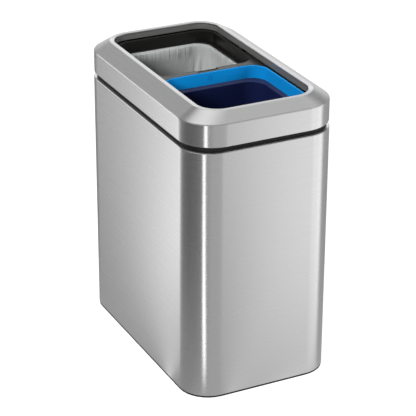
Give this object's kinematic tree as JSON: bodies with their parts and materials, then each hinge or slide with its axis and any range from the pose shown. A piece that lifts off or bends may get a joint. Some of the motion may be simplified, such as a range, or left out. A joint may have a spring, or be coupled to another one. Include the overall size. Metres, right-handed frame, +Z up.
{
  "type": "double recycling bin",
  "caption": "Slim open-top brushed steel bin with a lift-off rim over two lift-out buckets, one for recycling and one bagged for rubbish.",
  "frame": {"origin": "on the floor under the middle of the bin", "axes": "+Z up, X along the long sides with the recycling bucket towards +X, Y across the bin"},
  "size_m": [0.3726, 0.2278, 0.4325],
  "materials": {
    "brushed_steel": "vertically brushed on the sleeve and round the rim, satin",
    "black_plastic": "moulded, fine matt texture",
    "grey_plastic": "moulded, satin",
    "blue_plastic": "moulded, satin gloss",
    "navy_plastic": "moulded, fine matt texture",
    "bag_film": "thin crinkled film, translucent",
    "foot_rubber": "matt",
    "zinc_steel": "zinc plated"
  },
  "bodies": {
    "body": {"outer_sleeve": "brushed_steel", "top_collar": "black_plastic", "base_tray": "black_plastic", "floor_plate": "black_plastic", "base_screw_1": "zinc_steel", "base_screw_2": "zinc_steel", "base_screw_3": "zinc_steel", "base_screw_4": "zinc_steel", "base_screw_5": "zinc_steel", "base_screw_6": "zinc_steel", "foot_1": "foot_rubber", "foot_2": "foot_rubber", "foot_3": "foot_rubber", "foot_4": "foot_rubber"},
    "rim": {"rim_shell": "brushed_steel", "rim_lining": "grey_plastic", "rim_screw_1": "zinc_steel", "rim_screw_2": "zinc_steel", "rim_screw_3": "zinc_steel", "rim_screw_4": "zinc_steel", "rim_screw_5": "zinc_steel", "rim_screw_6": "zinc_steel"},
    "recycling_bucket": {"recycling_bucket": "navy_plastic"},
    "recycling_ring": {"recycling_ring": "blue_plastic"},
    "rubbish_bucket": {"rubbish_bucket": "black_plastic", "bin_bag": "bag_film"},
    "rubbish_ring": {"rubbish_ring": "black_plastic"}
  },
  "joints": [
    {"name": "rim_lift", "type": "slide", "parent": "body", "child": "rim", "axis": [0, 0, 1], "range_m": [0, 0.15]},
    {"name": "recycling_bucket_lift", "type": "slide", "parent": "body", "child": "recycling_bucket", "axis": [0, 0, 1], "range_m": [0, 0.45]},
    {"name": "recycling_ring_lift", "type": "slide", "parent": "recycling_bucket", "child": "recycling_ring", "axis": [0, 0, 1], "range_m": [0, 0.12]},
    {"name": "rubbish_bucket_lift", "type": "slide", "parent": "body", "child": "rubbish_bucket", "axis": [0, 0, 1], "range_m": [0, 0.45]},
    {"name": "rubbish_ring_lift", "type": "slide", "parent": "rubbish_bucket", "child": "rubbish_ring", "axis": [0, 0, 1], "range_m": [0, 0.12]}
  ]
}
